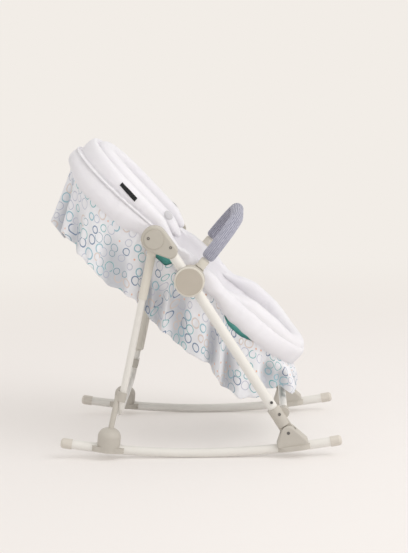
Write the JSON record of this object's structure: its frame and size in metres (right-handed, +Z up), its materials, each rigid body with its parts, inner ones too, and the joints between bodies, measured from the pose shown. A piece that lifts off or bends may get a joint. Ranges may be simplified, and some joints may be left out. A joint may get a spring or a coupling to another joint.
{
  "type": "baby bouncer seat",
  "caption": "Reclining padded infant seat with a fabric skirt, bumper bar and harness on a folding A-frame with curved rocker skids.",
  "frame": {"origin": "on the floor under the middle of the rocker skids, midway between them", "axes": "+X towards the foot end, +Y to the child's left, +Z up"},
  "size_m": [0.6883, 0.486, 0.7486],
  "materials": {
    "tube_white": "warm off-white powder coat on steel tube",
    "foot_grey": "moulded warm grey plastic, fine texture",
    "hub_beige": "moulded beige grey plastic, satin",
    "bezel_white": "moulded off-white plastic, satin",
    "button_beige": "moulded beige plastic, satin",
    "pin_steel": "zinc plated steel",
    "cover_white": "soft white knit over wadding",
    "skirt_print": "thin woven cotton, pale with small scattered coloured rings and dots",
    "lining_teal": "teal woven lining",
    "sleeve_grey": "heather grey ribbed knit",
    "pad_grey": "grey spacer mesh",
    "webbing_grey": "woven webbing",
    "buckle_grey": "moulded grey plastic",
    "release_grey": "moulded darker grey plastic",
    "tag_black": "black woven tape, blank"
  },
  "bodies": {
    "base": {"skid_right": "tube_white", "skid_left": "tube_white", "skid_cap_rear_right": "foot_grey", "skid_cap_rear_left": "foot_grey", "skid_cap_front_right": "foot_grey", "skid_cap_front_left": "foot_grey", "rear_foot_right": "foot_grey", "rear_foot_left": "foot_grey", "rear_clip_right": "foot_grey", "rear_clip_left": "foot_grey", "front_foot_right": "foot_grey", "front_foot_left": "foot_grey", "leg_socket_right": "foot_grey", "leg_socket_left": "foot_grey", "front_leg_right": "tube_white", "front_leg_left": "tube_white", "fold_hub_housing_right": "hub_beige", "fold_hub_housing_left": "hub_beige", "fold_hub_cover_right": "hub_beige", "fold_hub_cover_left": "hub_beige", "seat_hub_housing_right": "hub_beige", "seat_hub_housing_left": "hub_beige", "hub_bezel_right": "bezel_white", "hub_bezel_left": "bezel_white", "front_foot_pins": "pin_steel", "fold_pins": "pin_steel", "seat_pins": "pin_steel", "front_crossbar": "tube_white"},
    "rear_frame": {"rear_tube": "tube_white", "rear_leg_sleeve": "bezel_white", "rear_knuckle_right": "bezel_white", "rear_knuckle_left": "bezel_white"},
    "seat": {"seat_tube_back": "tube_white", "seat_tube_leg": "tube_white", "seat_bracket_right": "bezel_white", "seat_bracket_left": "bezel_white", "rim_cover": "cover_white", "seat_liner": "cover_white", "head_wings": "cover_white", "head_insert": "cover_white", "leg_bolster": "cover_white", "lining_band": "lining_teal", "tub_skirt": "skirt_print", "shoulder_pad_right": "pad_grey", "shoulder_pad_left": "pad_grey", "shoulder_strap_right": "webbing_grey", "shoulder_strap_left": "webbing_grey", "buckle": "buckle_grey", "crotch_strap": "webbing_grey", "waist_strap_right": "webbing_grey", "waist_strap_left": "webbing_grey", "side_tag": "tag_black"},
    "bar": {"bar_tube": "tube_white", "bar_sleeve": "sleeve_grey", "bar_knuckle_right": "bezel_white", "bar_knuckle_left": "bezel_white"},
    "button_right": {"hub_button_right": "button_beige"},
    "button_left": {"hub_button_left": "button_beige"},
    "release": {"release_button": "release_grey"}
  },
  "joints": [
    {"name": "rear_frame_fold", "type": "hinge", "parent": "base", "child": "rear_frame", "pos_m": [-0.09743, 0, 0.51884], "axis": [0, 1, 0], "range_deg": [-28, 0]},
    {"name": "seat_recline", "type": "hinge", "parent": "base", "child": "seat", "pos_m": [-0.018, 0, 0.421], "axis": [0, 1, 0], "range_deg": [-38, 0]},
    {"name": "bar_swing", "type": "hinge", "parent": "base", "child": "bar", "pos_m": [-0.018, 0, 0.421], "axis": [0, 1, 0], "range_deg": [-30, 20]},
    {"name": "hub_button_right_press", "type": "slide", "parent": "base", "child": "button_right", "axis": [0, 1, 0], "range_m": [0, 0.005], "stiffness_N_per_m": 600, "springref_m": -0.004},
    {"name": "hub_button_left_press", "type": "slide", "parent": "base", "child": "button_left", "axis": [0, -1, 0], "range_m": [0, 0.005], "stiffness_N_per_m": 600, "springref_m": -0.004},
    {"name": "release_button_press", "type": "slide", "parent": "seat", "child": "release", "axis": [-0.682, 0, -0.7314], "range_m": [0, 0.003], "stiffness_N_per_m": 500, "springref_m": -0.003}
  ]
}
